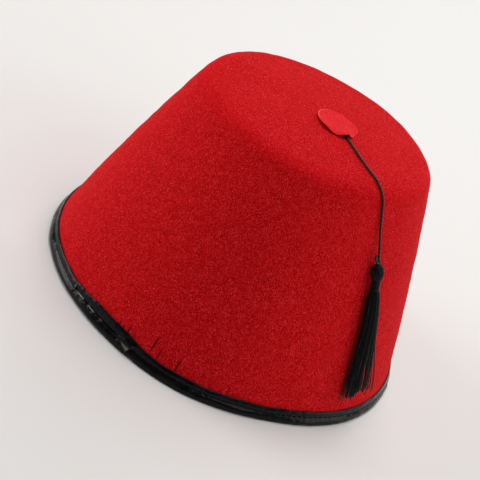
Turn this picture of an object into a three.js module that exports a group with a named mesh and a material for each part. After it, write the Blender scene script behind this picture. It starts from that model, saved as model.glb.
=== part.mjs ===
// A fez: a moulded felt cap, wider at its rim than at its nearly flat top, with a folded strip
// bound over the rim, a small felt disc on the top, and a tassel on a thin cord that comes out
// from under the disc and lies down the wall. It rests on its rim.
// Millimetres, +Z up. Azimuth 0 is +X and grows towards +Y; the hat's wearer would look along +Y.
import * as THREE from 'three';

// ---- Driving dimensions: millimetres, and degrees where the name says so ----------------------

const FELT = 2;                 // thickness of the felt
const GAP = 0.3;                // clearance between neighbouring pieces

const RIM_RADIUS = 98.3;        // outside of the felt at its lower edge
const SHOULDER_RADIUS = 12.5;   // round between wall and top
const SHOULDER_MIDDLE = { r: 50, z: 106.6 };
const TOP_SLOPE_DEG = 4;        // slope of the top where it meets the round
const WALL_BOW = 1.15;          // how far the wall swells outward halfway up
const RIM_FLARE = 1;            // how far it turns out again at its lower edge

// The cap isn't quite round. How far the rim stands out of the round, every 30 degrees from
// azimuth 0: the felt is pressed in where the tassel hangs.
const RIM_OUT = [-0.3, 0.3, 0.6, 0.5, 0.1, -0.4, -0.3, 0, -0.5, 0.5, -2.9, -1.4];

// The crown is slightly oval, its middle has drifted from the rim's, and the wall's swelling
// leans to one side.
const CROWN = { oval: 0.0316, ovalDeg: 11.4, x: -1.1, y: 0.5, level: 125.4 };
const SIDE_BOW = { x: 0.2, y: -2.2 };

// Between these azimuths, fading in and out, the crown bulges: it stands out by a share of its
// radius, and the edge of its top has sunk.
const BULGE = { from: [168, 205], to: [275, 330], out: 0.072, drop: 2.9, level: 120, reach: 55 };

// The binding's section: out is measured from the felt's outer face, z from the ground. It runs
// from the flat underside up the puffed outer roll, over the stitched groove and the upper flap,
// and down and up again round the felt's edge.
const BINDING = {
  flatIn: -2.2,
  flatOut: 0.4,
  floor: 0.75,
  outside: [
    { out: 1.05, z: 0.45 },
    { out: 1.4, z: 1.6 },
    { out: 1.35, z: 3 },
    { out: 0.9, z: 4.3 },
    { out: 0.85, z: 5 },
    { out: 1.1, z: 5.9 },
    { out: 1, z: 7.2 },
    { out: 0.65, z: 7.7 },
  ],
  innerFlap: { out: -3, z: 7.3 },
  edgeRound: 0.3,   // how far the rounding of its upper edges and of its inner foot reaches
};
const FELT_EDGE_Z = BINDING.floor + GAP;

// Where the binding's ends overlap: how much thicker it is there and how much taller its outer
// flap stands. Rows go round by azimuth.
const OVERLAP = [
  { deg: 226, thicker: 0, taller: 0 },
  { deg: 230, thicker: 0.5, taller: 0.2 },
  { deg: 240, thicker: 0.6, taller: 2.1 },
  { deg: 250, thicker: 0.6, taller: 2.2 },
  { deg: 255, thicker: 0.5, taller: 1.2 },
  { deg: 260, thicker: 0, taller: 0.2 },
  { deg: 262, thicker: 0, taller: 0 },
];

const DISC = { radius: 11.3, thick: 1.1, edge: 0.35, x: 5.9, y: -8.2 };

const CORD_DIAMETER = 1.3;

// The cord's middle line, a row for each point: azimuth, distance up the felt from its lower
// edge, and distance off the felt's face. It crosses the top, bends over the shoulder, and
// leaves the wall a little as it nears the tassel's head.
const CORD_ROUTE = [
  { deg: -50, up: 158.9, off: 0.95 },
  { deg: -49.6, up: 153, off: 0.95 },
  { deg: -49.3, up: 147, off: 0.95 },
  { deg: -48.8, up: 141, off: 0.95 },
  { deg: -48, up: 135, off: 0.95 },
  { deg: -47, up: 129.5, off: 0.95 },
  { deg: -46, up: 124.5, off: 0.95 },
  { deg: -45, up: 120, off: 0.95 },
  { deg: -44, up: 115, off: 0.95 },
  { deg: -43, up: 109, off: 1.1 },
  { deg: -42.2, up: 103, off: 1.7 },
  { deg: -41.5, up: 97.5, off: 2.6 },
  { deg: -41, up: 92.5, off: 3.3 },
];

// The tassel's middle line goes on from there.
const TASSEL_ROUTE = [
  { deg: -41, up: 92.5, off: 3.3 },
  { deg: -40.4, up: 88, off: 3.6 },
  { deg: -39.5, up: 81.5, off: 3.7 },
  { deg: -38.8, up: 76, off: 3.6 },
  { deg: -37.4, up: 66, off: 3.6 },
  { deg: -35.2, up: 48, off: 3.5 },
  { deg: -33.3, up: 31, off: 3.3 },
  { deg: -31.9, up: 15, off: 3.1 },
];

// Outer forms of the tassel's pieces: distance along its line, then width across and depth off
// the wall there.
const KNOT = [
  { along: 0, width: 1.5, depth: 1.5 },
  { along: 0.7, width: 2.8, depth: 2.5 },
  { along: 1.6, width: 3, depth: 2.7 },
  { along: 2.5, width: 1.7, depth: 1.7 },
];
const HEAD = [
  { along: 0, width: 2.4, depth: 2.4 },
  { along: 0.9, width: 4.8, depth: 4.7 },
  { along: 2.6, width: 6.3, depth: 6.2 },
  { along: 4.3, width: 6.6, depth: 6.5 },
  { along: 6, width: 6.2, depth: 6.1 },
  { along: 7.6, width: 5.1, depth: 5 },
  { along: 8.4, width: 4.1, depth: 4.1 },
];
const NECK = [
  { along: 0, width: 4.2, depth: 4.2 },
  { along: 0.6, width: 4.8, depth: 4.8 },
  { along: 3.8, width: 4.7, depth: 4.7 },
  { along: 4.6, width: 4.3, depth: 4.3 },
];
const SKIRT = [
  { along: 0, width: 4.3, depth: 4.2 },
  { along: 2, width: 6.2, depth: 5.2 },
  { along: 6, width: 7.8, depth: 5.9 },
  { along: 14, width: 9.2, depth: 6.3 },
  { along: 28, width: 10.8, depth: 6.3 },
  { along: 42, width: 12.4, depth: 6 },
  { along: 53, width: 14, depth: 5.5 },
  { along: 58, width: 14.2, depth: 4.9 },
  { along: 60, width: 12.4, depth: 4.2 },
];

// ---- How finely the faceted solids are cut ------------------------------------------------------

const TURNS = 72;
const WALL_STEPS = 9;
const SHOULDER_STEPS = 6;
const TOP_STEPS = 4;
const DISC_TURNS = 40;
const CORD_SIDES = 8;
const CORD_STEPS = 27;
const SMALL_TURNS = 16;

const radians = THREE.MathUtils.degToRad;
const clamp = THREE.MathUtils.clamp;

// ---- The felt's outer face ----------------------------------------------------------------------

const middleReach = Math.hypot(RIM_RADIUS - SHOULDER_MIDDLE.r, SHOULDER_MIDDLE.z);
const WALL_LEAN = Math.atan2(RIM_RADIUS - SHOULDER_MIDDLE.r, SHOULDER_MIDDLE.z)
  - Math.asin(SHOULDER_RADIUS / middleReach);
const WALL_LENGTH = Math.sqrt(middleReach ** 2 - SHOULDER_RADIUS ** 2);
const WALL_TOP_Z = WALL_LENGTH * Math.cos(WALL_LEAN);
const TOP_SLOPE = radians(TOP_SLOPE_DEG);
const SHOULDER_LENGTH = SHOULDER_RADIUS * (Math.PI / 2 - WALL_LEAN - TOP_SLOPE);
const TOP_RADIUS = SHOULDER_MIDDLE.r + SHOULDER_RADIUS * Math.sin(TOP_SLOPE);
const TOP_EDGE_Z = SHOULDER_MIDDLE.z + SHOULDER_RADIUS * Math.cos(TOP_SLOPE);
const FACE_LENGTH = WALL_LENGTH + SHOULDER_LENGTH + TOP_RADIUS;

// Height of the top's outer face at a distance from the axis.
function topHeight(r) {
  return TOP_EDGE_Z + (Math.tan(TOP_SLOPE) * (TOP_RADIUS ** 2 - r ** 2)) / (2 * TOP_RADIUS);
}

// The round profile at a distance up the face, moved off it by `off` (inward where negative).
function profileAt(up, off = 0) {
  if (up <= WALL_LENGTH) {
    const s = up / WALL_LENGTH;
    const bow = WALL_BOW * 4 * s * (1 - s) + RIM_FLARE * (1 - s) ** 4;
    return {
      r: RIM_RADIUS - up * Math.sin(WALL_LEAN) + bow + off * Math.cos(WALL_LEAN),
      z: up * Math.cos(WALL_LEAN) + off * Math.sin(WALL_LEAN),
    };
  }
  if (up <= WALL_LENGTH + SHOULDER_LENGTH) {
    const rise = WALL_LEAN + (up - WALL_LENGTH) / SHOULDER_RADIUS;
    return {
      r: SHOULDER_MIDDLE.r + (SHOULDER_RADIUS + off) * Math.cos(rise),
      z: SHOULDER_MIDDLE.z + (SHOULDER_RADIUS + off) * Math.sin(rise),
    };
  }
  const r = Math.max(0, FACE_LENGTH - up);
  const tilt = Math.atan((Math.tan(TOP_SLOPE) * r) / TOP_RADIUS);
  return { r: r + off * Math.sin(tilt), z: topHeight(r) + off * Math.cos(tilt) };
}

// How much wider than round the rim is at an azimuth, as a share of its radius: a smooth curve
// through the values round it.
function rimSwell(azimuth) {
  const count = RIM_OUT.length;
  const turn = THREE.MathUtils.euclideanModulo((azimuth * count) / (2 * Math.PI), count);
  const i = Math.floor(turn);
  const t = turn - i;
  const [before, a, b, after] = [-1, 0, 1, 2].map((step) => RIM_OUT[(i + step + count) % count]);
  const slopeA = (b - before) / 2;
  const slopeB = (after - a) / 2;
  const out = a + t * (slopeA + t * (3 * (b - a) - 2 * slopeA - slopeB
    + t * (2 * (a - b) + slopeA + slopeB)));
  return out / RIM_RADIUS;
}

// How much of the crown's bulge there is at an azimuth, from 0 to 1.
function bulge(azimuth) {
  const deg = THREE.MathUtils.euclideanModulo(THREE.MathUtils.radToDeg(azimuth), 360);
  return THREE.MathUtils.smoothstep(deg, ...BULGE.from)
    * (1 - THREE.MathUtils.smoothstep(deg, ...BULGE.to));
}

// How far the crown's top has sunk at a place on the round form.
function crownDrop(r, z, azimuth) {
  const nearEdge = Math.min(1, r / BULGE.reach) ** 1.5;
  return BULGE.drop * bulge(azimuth) * clamp(z / BULGE.level, 0, 1) ** 3 * nearEdge;
}

// Turns a place on the round form into the same place on the real, not quite round one.
function inPlan(r, z, azimuth) {
  const up = clamp(z / CROWN.level, 0, 1);
  const s = clamp(z / WALL_TOP_Z, 0, 1);
  const crownSwell = CROWN.oval * Math.cos(2 * (azimuth - radians(CROWN.ovalDeg)))
    + BULGE.out * bulge(azimuth);
  const lean = SIDE_BOW.x * Math.cos(azimuth) + SIDE_BOW.y * Math.sin(azimuth);
  const swell = rimSwell(azimuth) * (1 - up) + crownSwell * up;
  const reach = r * (1 + swell) + lean * 4 * s * (1 - s);
  return new THREE.Vector3(
    reach * Math.cos(azimuth) + CROWN.x * up,
    reach * Math.sin(azimuth) + CROWN.y * up,
    z - crownDrop(r, z, azimuth),
  );
}

// A point off the felt's outer face.
function offFelt({ deg, up, off }) {
  const { r, z } = profileAt(up, off);
  return inPlan(r, z, radians(deg));
}

// Reads one column of a table between its rows.
function between(rows, key, value, column) {
  if (value <= rows[0][key]) return rows[0][column];
  const next = rows.findIndex((row) => row[key] >= value);
  if (next < 0) return rows[rows.length - 1][column];
  const a = rows[next - 1];
  const b = rows[next];
  return a[column] + ((b[column] - a[column]) * (value - a[key])) / (b[key] - a[key]);
}

// ---- Making solids ------------------------------------------------------------------------------

// Turns a profile of {r, z} about the Z axis, and sends each vertex where `place` says.
function turned(profile, turns, place) {
  const points = profile.map(({ r, z }) => new THREE.Vector2(r, z));
  const geometry = new THREE.LatheGeometry(points, turns).rotateX(Math.PI / 2);
  const vertices = geometry.attributes.position;
  const vertex = new THREE.Vector3();
  for (let i = 0; i < vertices.count; i += 1) {
    vertex.fromBufferAttribute(vertices, i);
    const moved = place(Math.hypot(vertex.x, vertex.y), vertex.z, Math.atan2(vertex.y, vertex.x));
    vertices.setXYZ(i, moved.x, moved.y, moved.z);
  }
  geometry.computeVertexNormals();
  return geometry;
}

function finish(color, roughness) {
  return new THREE.MeshStandardMaterial({ color, roughness, metalness: 0 });
}

const hat = new THREE.Group();

function addPiece(name, geometry, material) {
  const mesh = new THREE.Mesh(geometry, material);
  mesh.name = name;
  hat.add(mesh);
}

// ---- The felt cap -------------------------------------------------------------------------------

// Distances up the face at which the cap's sections lie, from the rim to the middle of the top.
function sectionStations(wallSteps, shoulderSteps, topSteps) {
  const stations = [];
  const edge = FELT_EDGE_Z / Math.cos(WALL_LEAN);
  for (let i = 0; i <= wallSteps; i += 1) {
    stations.push(edge + ((WALL_LENGTH - edge) * i) / wallSteps);
  }
  for (let i = 1; i <= shoulderSteps; i += 1) {
    stations.push(WALL_LENGTH + (SHOULDER_LENGTH * i) / shoulderSteps);
  }
  for (let i = 1; i <= topSteps; i += 1) {
    stations.push(WALL_LENGTH + SHOULDER_LENGTH + (TOP_RADIUS * i) / topSteps);
  }
  return stations;
}

function feltCrown() {
  const stations = sectionStations(WALL_STEPS, SHOULDER_STEPS, TOP_STEPS);
  const outside = stations.map((up) => profileAt(up));
  const inside = stations.map((up) => profileAt(up, -FELT));
  inside[0].z = outside[0].z;
  inside[inside.length - 1].r = 0;
  return turned([...inside.reverse(), ...outside], TURNS, inPlan);
}

// ---- The binding --------------------------------------------------------------------------------

function rimBinding() {
  const { flatIn, flatOut, floor, outside, innerFlap, edgeRound } = BINDING;
  const top = outside[outside.length - 1];
  const section = [
    { out: flatIn, z: 0 },
    { out: flatOut, z: 0 },
    ...outside,
    { out: GAP, z: top.z - edgeRound },
    { out: GAP, z: floor },
    { out: -FELT - GAP, z: floor },
    { out: -FELT - GAP, z: innerFlap.z - edgeRound },
    { out: -FELT - GAP - edgeRound, z: innerFlap.z },
    { out: innerFlap.out, z: innerFlap.z - edgeRound },
    { out: innerFlap.out, z: 3 * edgeRound },
    { out: innerFlap.out + edgeRound, z: edgeRound },
    { out: flatIn, z: 0 },
  ];
  const faceRadius = (z) => profileAt(z / Math.cos(WALL_LEAN)).r;
  const profile = section.map(({ out, z }) => ({ r: faceRadius(z) + out, z }));
  const middle = outside[3].z;
  return turned(profile, TURNS, (r, z, azimuth) => {
    const deg = THREE.MathUtils.euclideanModulo(THREE.MathUtils.radToDeg(azimuth), 360);
    const out = r - faceRadius(z);
    const onOutside = out > outside[outside.length - 1].out - edgeRound / 2 ? 1 : 0;
    const onFlap = out > 0 ? clamp((z - middle) / (top.z - middle), 0, 1) : 0;
    const wide = r + onOutside * between(OVERLAP, 'deg', deg, 'thicker');
    return inPlan(wide, z + onFlap * between(OVERLAP, 'deg', deg, 'taller'), azimuth);
  });
}

// ---- The disc on the top ------------------------------------------------------------------------

function topDisc() {
  const { radius, thick, edge, x, y } = DISC;
  const profile = [
    { r: 0, z: 0 },
    { r: radius / 2, z: 0 },
    { r: radius - edge, z: 0 },
    { r: radius, z: edge },
    { r: radius, z: thick - edge },
    { r: radius - edge, z: thick },
    { r: radius / 2, z: thick },
    { r: 0, z: thick },
  ];
  return turned(profile, DISC_TURNS, (r, z, azimuth) => {
    const px = x + r * Math.cos(azimuth);
    const py = y + r * Math.sin(azimuth);
    const fromAxis = Math.hypot(px - CROWN.x, py - CROWN.y);
    const level = topHeight(fromAxis);
    const drop = crownDrop(fromAxis, level, Math.atan2(py - CROWN.y, px - CROWN.x));
    return new THREE.Vector3(px, py, level - drop + GAP + z);
  });
}

// ---- The cord and the tassel --------------------------------------------------------------------

function tasselCord() {
  const route = new THREE.CatmullRomCurve3(CORD_ROUTE.map(offFelt), false, 'centripetal');
  const section = new THREE.Shape();
  for (let i = 0; i < CORD_SIDES; i += 1) {
    const turn = (i * 2 * Math.PI) / CORD_SIDES;
    const x = (CORD_DIAMETER / 2) * Math.cos(turn);
    const y = (CORD_DIAMETER / 2) * Math.sin(turn);
    if (i === 0) section.moveTo(x, y);
    else section.lineTo(x, y);
  }
  section.closePath();
  return new THREE.ExtrudeGeometry(section, { steps: CORD_STEPS, extrudePath: route });
}

// The tassel's line, and at each distance along it the way across and the way off the wall.
const tasselLine = new THREE.CatmullRomCurve3(TASSEL_ROUTE.map(offFelt), false, 'centripetal');
const tasselLength = tasselLine.getLength();

function tasselFrame(along) {
  const u = clamp(along / tasselLength, 0, 1);
  const middle = tasselLine.getPointAt(u);
  const forward = tasselLine.getTangentAt(u);
  const azimuth = Math.atan2(middle.y, middle.x);
  const away = new THREE.Vector3(
    Math.cos(azimuth) * Math.cos(WALL_LEAN),
    Math.sin(azimuth) * Math.cos(WALL_LEAN),
    Math.sin(WALL_LEAN),
  );
  const across = new THREE.Vector3().crossVectors(forward, away).normalize();
  const off = new THREE.Vector3().crossVectors(across, forward).normalize();
  middle.addScaledVector(forward, along - u * tasselLength);
  return { middle, across, off };
}

// A solid of elliptic sections along the tassel's line, from `start` on.
function alongTassel(sections, start) {
  const ends = [sections[0], sections[sections.length - 1]];
  const profile = [
    { r: 0, z: ends[0].along },
    ...sections.map(({ along, width }) => ({ r: width / 2, z: along })),
    { r: 0, z: ends[1].along },
  ];
  return turned(profile, SMALL_TURNS, (r, along, turn) => {
    const { middle, across, off } = tasselFrame(start + along);
    const width = between(sections, 'along', along, 'width');
    const flat = between(sections, 'along', along, 'depth') / width;
    return middle
      .addScaledVector(off, r * flat * Math.cos(turn))
      .addScaledVector(across, r * Math.sin(turn));
  });
}

const lengthOf = (sections) => sections[sections.length - 1].along;
const KNOT_START = GAP;
const HEAD_START = KNOT_START + lengthOf(KNOT) + GAP;
const NECK_START = HEAD_START + lengthOf(HEAD) + GAP;
const SKIRT_START = NECK_START + lengthOf(NECK) + GAP;

// ---- The hat ------------------------------------------------------------------------------------

addPiece('felt_crown', feltCrown(), finish(0xc8141e, 0.95));
addPiece('rim_binding', rimBinding(), finish(0x0c0c0e, 0.25));
addPiece('top_disc', topDisc(), finish(0xd8202a, 0.95));
addPiece('tassel_cord', tasselCord(), finish(0x121214, 0.6));
addPiece('cord_knot', alongTassel(KNOT, KNOT_START), finish(0x121214, 0.6));
addPiece('tassel_head', alongTassel(HEAD, HEAD_START), finish(0x0e0e10, 0.5));
addPiece('tassel_neck', alongTassel(NECK, NECK_START), finish(0x0e0e10, 0.45));
addPiece('tassel_skirt', alongTassel(SKIRT, SKIRT_START), finish(0x0e0e10, 0.5));

export default hat;
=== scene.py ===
"""A fez that rests on its rim: a red felt cap with a glossy black strip bound over its edge, a
felt disc on the top, and a black tassel on a twisted cord that lies down the wall.

Tables and shape functions are in millimetres, in the CAD model's frame; meshes are made in metres.
"""
import math

import bpy
import numpy as np
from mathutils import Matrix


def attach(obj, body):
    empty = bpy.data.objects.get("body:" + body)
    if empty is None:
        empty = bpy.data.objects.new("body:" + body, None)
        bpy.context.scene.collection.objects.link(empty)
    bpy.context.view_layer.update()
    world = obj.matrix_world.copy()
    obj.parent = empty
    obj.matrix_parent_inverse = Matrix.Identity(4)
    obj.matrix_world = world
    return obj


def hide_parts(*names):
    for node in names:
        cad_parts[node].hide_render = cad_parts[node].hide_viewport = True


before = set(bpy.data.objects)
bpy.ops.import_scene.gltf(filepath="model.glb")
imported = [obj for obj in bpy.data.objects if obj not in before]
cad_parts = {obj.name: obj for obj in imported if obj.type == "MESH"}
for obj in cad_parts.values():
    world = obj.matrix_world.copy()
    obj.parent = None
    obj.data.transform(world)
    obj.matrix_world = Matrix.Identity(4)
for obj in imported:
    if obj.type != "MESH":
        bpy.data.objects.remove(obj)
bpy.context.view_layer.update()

MM = 0.001

# ---- Camera ----

CAMERA_EYE = (-2.84, -660.3, 392.2)
CAMERA_AIM = (-7.23, 1.07, 32.97)
CAMERA_ROLL = 0.5228
CAMERA_LENS = 107.29
CAMERA_SENSOR = 36
CAMERA_NEAR, CAMERA_FAR = 0.05, 30


def unit(vectors):
    vectors = np.asarray(vectors, float)
    return vectors / np.linalg.norm(vectors, axis=-1, keepdims=True)


def put(obj, x_axis, y_axis, z_axis, place):
    """Adds an object to the scene, turned to three axes at a place in millimetres."""
    columns = np.eye(4)
    columns[:3, :3] = x_axis, y_axis, z_axis
    columns[3, :3] = np.asarray(place, float) * MM
    bpy.context.scene.collection.objects.link(obj)
    obj.matrix_world = columns


def make_camera():
    data = bpy.data.cameras.new("camera")
    data.lens, data.sensor_width = CAMERA_LENS, CAMERA_SENSOR
    data.clip_start, data.clip_end = CAMERA_NEAR, CAMERA_FAR
    camera = bpy.data.objects.new("camera", data)
    forward = unit(np.subtract(CAMERA_AIM, CAMERA_EYE))
    right = unit(np.cross(forward, (0, 0, 1)))
    up = np.cross(right, forward)
    cos, sin = math.cos(CAMERA_ROLL), math.sin(CAMERA_ROLL)
    put(camera, cos * right + sin * up, cos * up - sin * right, -forward, CAMERA_EYE)
    bpy.context.scene.camera = camera


# ---- The felt's outer face, as in the CAD model ----

FELT = 2.0
RIM_RADIUS = 98.3
SHOULDER_RADIUS = 12.5
SHOULDER_R, SHOULDER_Z = 50.0, 106.6
TOP_SLOPE = math.radians(4)
WALL_BOW = 1.15
RIM_FLARE = 1.0
RIM_OUT = [-0.3, 0.3, 0.6, 0.5, 0.1, -0.4, -0.3, 0, -0.5, 0.5, -2.9, -1.4]
CROWN_OVAL, CROWN_TURN = 0.0316, math.radians(11.4)
CROWN_X, CROWN_Y, CROWN_LEVEL = -1.1, 0.5, 125.4
SIDE_BOW_X, SIDE_BOW_Y = 0.2, -2.2
# Towards the front left the crown stands out further, and its top sinks.
BULGE_FROM, BULGE_TO = (168, 205), (275, 330)
BULGE_OUT, BULGE_DROP, BULGE_LEVEL, BULGE_REACH = 0.072, 2.9, 120.0, 55.0
FELT_EDGE_Z = 1.05

MIDDLE_REACH = math.hypot(RIM_RADIUS - SHOULDER_R, SHOULDER_Z)
LEAN = math.atan2(RIM_RADIUS - SHOULDER_R, SHOULDER_Z) - math.asin(SHOULDER_RADIUS / MIDDLE_REACH)
WALL_LENGTH = math.sqrt(MIDDLE_REACH ** 2 - SHOULDER_RADIUS ** 2)
WALL_TOP_Z = WALL_LENGTH * math.cos(LEAN)
SHOULDER_LENGTH = SHOULDER_RADIUS * (math.pi / 2 - LEAN - TOP_SLOPE)
TOP_RADIUS = SHOULDER_R + SHOULDER_RADIUS * math.sin(TOP_SLOPE)
TOP_EDGE_Z = SHOULDER_Z + SHOULDER_RADIUS * math.cos(TOP_SLOPE)
FACE_LENGTH = WALL_LENGTH + SHOULDER_LENGTH + TOP_RADIUS


def top_height(r):
    return TOP_EDGE_Z + math.tan(TOP_SLOPE) * (TOP_RADIUS ** 2 - r ** 2) / (2 * TOP_RADIUS)


def face_profile(up, off=0.0):
    """Radius and height of the round profile at a distance up the face, moved off it by `off`."""
    up = np.asarray(up, float)
    s = np.clip(up / WALL_LENGTH, 0, 1)
    bow = WALL_BOW * 4 * s * (1 - s) + RIM_FLARE * (1 - s) ** 4
    rise = LEAN + (up - WALL_LENGTH) / SHOULDER_RADIUS
    top_r = np.maximum(0, FACE_LENGTH - up)
    which = [up <= WALL_LENGTH, up <= WALL_LENGTH + SHOULDER_LENGTH]
    r = np.select(which, [RIM_RADIUS - up * math.sin(LEAN) + bow,
                          SHOULDER_R + SHOULDER_RADIUS * np.cos(rise)], top_r)
    z = np.select(which, [up * math.cos(LEAN),
                          SHOULDER_Z + SHOULDER_RADIUS * np.sin(rise)], top_height(top_r))
    facing = np.select(which, [np.full_like(up, LEAN), rise],
                       math.pi / 2 - np.arctan(math.tan(TOP_SLOPE) * top_r / TOP_RADIUS))
    return r + off * np.cos(facing), z + off * np.sin(facing)


def rim_swell(azimuth):
    """How much wider than round the rim is, as a share of its radius."""
    values = np.array(RIM_OUT)
    count = len(values)
    turn = np.mod(azimuth * count / (2 * math.pi), count)
    first = np.floor(turn).astype(int)
    t = turn - first
    before, a, b, after = (values[(first + step) % count] for step in (-1, 0, 1, 2))
    slope_a, slope_b = (b - before) / 2, (after - a) / 2
    out = a + t * (slope_a + t * (3 * (b - a) - 2 * slope_a - slope_b
                                  + t * (2 * (a - b) + slope_a + slope_b)))
    return out / RIM_RADIUS


def ease(low, high, value):
    """Goes smoothly from 0 at `low` to 1 at `high`."""
    t = np.clip((np.asarray(value, float) - low) / (high - low), 0, 1)
    return t * t * (3 - 2 * t)


def bulge(azimuth):
    deg = np.mod(np.degrees(azimuth), 360)
    return ease(*BULGE_FROM, deg) * (1 - ease(*BULGE_TO, deg))


def crown_drop(r, z, azimuth):
    """How far the crown's top has sunk at a place on the round form."""
    near_edge = np.minimum(1, r / BULGE_REACH) ** 1.5
    return BULGE_DROP * bulge(azimuth) * np.clip(z / BULGE_LEVEL, 0, 1) ** 3 * near_edge


def in_plan(r, z, azimuth):
    """Turns places on the round form into the same places on the real, not quite round one."""
    up = np.clip(z / CROWN_LEVEL, 0, 1)
    s = np.clip(z / WALL_TOP_Z, 0, 1)
    lean = SIDE_BOW_X * np.cos(azimuth) + SIDE_BOW_Y * np.sin(azimuth)
    crown = CROWN_OVAL * np.cos(2 * (azimuth - CROWN_TURN)) + BULGE_OUT * bulge(azimuth)
    swell = rim_swell(azimuth) * (1 - up) + crown * up
    reach = r * (1 + swell) + lean * 4 * s * (1 - s)
    x, y = reach * np.cos(azimuth) + CROWN_X * up, reach * np.sin(azimuth) + CROWN_Y * up
    return np.stack(np.broadcast_arrays(x, y, z - crown_drop(r, z, azimuth)), -1)


def crown_top(x, y):
    """Height of the felt's top face at a place seen from above."""
    r, azimuth = np.hypot(x - CROWN_X, y - CROWN_Y), np.arctan2(y - CROWN_Y, x - CROWN_X)
    return top_height(r) - crown_drop(r, top_height(r), azimuth)


def off_felt(route):
    """Places off the felt's outer face, from rows of azimuth, distance up the face and distance off it."""
    deg, up, off = (np.array([row[i] for row in route]) for i in range(3))
    r, z = face_profile(up, off)
    return in_plan(r, z, np.radians(deg))


# ---- Tools ----

# Steps between two points of a curve before it is spaced evenly.
CURVE_STEPS = 40


def hump(middle, half_width, value):
    """A smooth hump of height 1 at `middle`."""
    return np.exp(-((np.asarray(value, float) - middle) / half_width) ** 2)


def waves(points, size, seed, count=16):
    """Smooth seeded unevenness, mostly between -1 and 1, with features of about `size`."""
    random = np.random.default_rng(seed)
    total = np.zeros(points.shape[:-1])
    for _ in range(count):
        way = unit(random.normal(size=points.shape[-1])) * 2 * math.pi / (size * random.uniform(0.7, 1.5))
        total += np.cos(points @ way + random.uniform(0, 2 * math.pi))
    return total / math.sqrt(count)


def apart(turn, other):
    """The signed angle from `other` to `turn`, between -pi and pi."""
    return np.angle(np.exp(1j * (turn - other)))


def run_along(line):
    """The distance along a line at each of its points."""
    return np.concatenate([[0], np.cumsum(np.linalg.norm(np.diff(line, axis=0), axis=1))])


def by_density(places, density, shares):
    """Places at the given shares of the way, closest together where the density is highest."""
    run = np.concatenate([[0], np.cumsum((density[1:] + density[:-1]) / 2)])
    return np.interp(np.asarray(shares) * run[-1], run, places)


def smooth_line(points, step):
    """A centripetal Catmull-Rom curve through the points, at an even spacing of about `step`."""
    points = np.asarray(points, float)
    padded = np.vstack([2 * points[0] - points[1], points, 2 * points[-1] - points[-2]])
    fine = []
    for p0, p1, p2, p3 in zip(padded, padded[1:], padded[2:], padded[3:]):
        d0, d1, d2 = (math.sqrt(np.linalg.norm(b - a)) for a, b in ((p0, p1), (p1, p2), (p2, p3)))
        slope_1 = ((p1 - p0) / d0 - (p2 - p0) / (d0 + d1) + (p2 - p1) / d1) * d1
        slope_2 = ((p2 - p1) / d1 - (p3 - p1) / (d1 + d2) + (p3 - p2) / d2) * d1
        t = np.linspace(0, 1, CURVE_STEPS, endpoint=False)[:, None]
        fine.append(p1 + slope_1 * t + (3 * (p2 - p1) - 2 * slope_1 - slope_2) * t ** 2
                    + (2 * (p1 - p2) + slope_1 + slope_2) * t ** 3)
    fine = np.vstack(fine + [points[-1:]])
    run = run_along(fine)
    even = np.linspace(0, run[-1], max(2, round(run[-1] / step) + 1))
    return np.stack([np.interp(even, run, fine[:, i]) for i in range(fine.shape[1])], -1)


def length_of(line):
    return float(np.linalg.norm(np.diff(line, axis=0), axis=1).sum())


def ring_faces(rows, sides, first=0):
    """Quads between `rows` closed rings of `sides` vertices that follow each other from `first`."""
    i, j = np.meshgrid(np.arange(rows - 1), np.arange(sides), indexing="ij")
    a, b = i * sides + j, i * sides + (j + 1) % sides
    return (np.stack([a, b, b + sides, a + sides], -1) + first).reshape(-1, 4)


def fan_faces(ring, centre):
    ring = np.asarray(ring)
    return np.stack([ring, np.roll(ring, -1), np.full(len(ring), centre)], -1)


def end_faces(rows, sides):
    """Fans that close the first and the last ring on the two vertices that follow all the rings."""
    n = rows * sides
    return np.vstack([fan_faces(np.arange(sides)[::-1], n), fan_faces(np.arange(n - sides, n), n + 1)])


class Pile:
    """Gathers closed forms, each with a tone of its own, into one mesh."""

    def __init__(self):
        self.verts, self.quads, self.tris, self.tones, self.count = [], [], [], [], 0

    def add(self, verts, quads, tris=(), tone=0.5):
        verts = np.asarray(verts, float).reshape(-1, 3)
        self.verts.append(verts)
        self.quads.append(np.asarray(quads, int).reshape(-1, 4) + self.count)
        self.tris.append(np.asarray(tris, int).reshape(-1, 3) + self.count)
        self.tones.append(np.broadcast_to(np.asarray(tone, float), (len(verts),)))
        self.count += len(verts)

    def tube(self, line, radius, sides, tone=0.5, reference=(0.31, 0.87, 0.38)):
        """A closed tube along a line that is nowhere parallel to `reference`; `radius` may change."""
        line = np.asarray(line, float)
        radius = np.broadcast_to(radius, (len(line),))[:, None, None]
        tangent = unit(np.gradient(line, axis=0))
        reference = np.broadcast_to(reference, line.shape)
        across = unit(np.cross(tangent, reference))
        over = np.cross(tangent, across)
        turn = 2 * math.pi * np.arange(sides) / sides
        rings = line[:, None] + radius * (across[:, None] * np.cos(turn)[:, None]
                                          + over[:, None] * np.sin(turn)[:, None])
        ends = [line[0] - tangent[0] * radius[0, 0, 0] / 2, line[-1] + tangent[-1] * radius[-1, 0, 0] / 2]
        self.add(np.vstack([rings.reshape(-1, 3), ends]), ring_faces(len(line), sides),
                 end_faces(len(line), sides), tone)

    def build(self, name, look):
        return solid(name, look, np.vstack(self.verts), np.vstack(self.quads), np.vstack(self.tris),
                     {"tone": np.concatenate(self.tones)})


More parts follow.
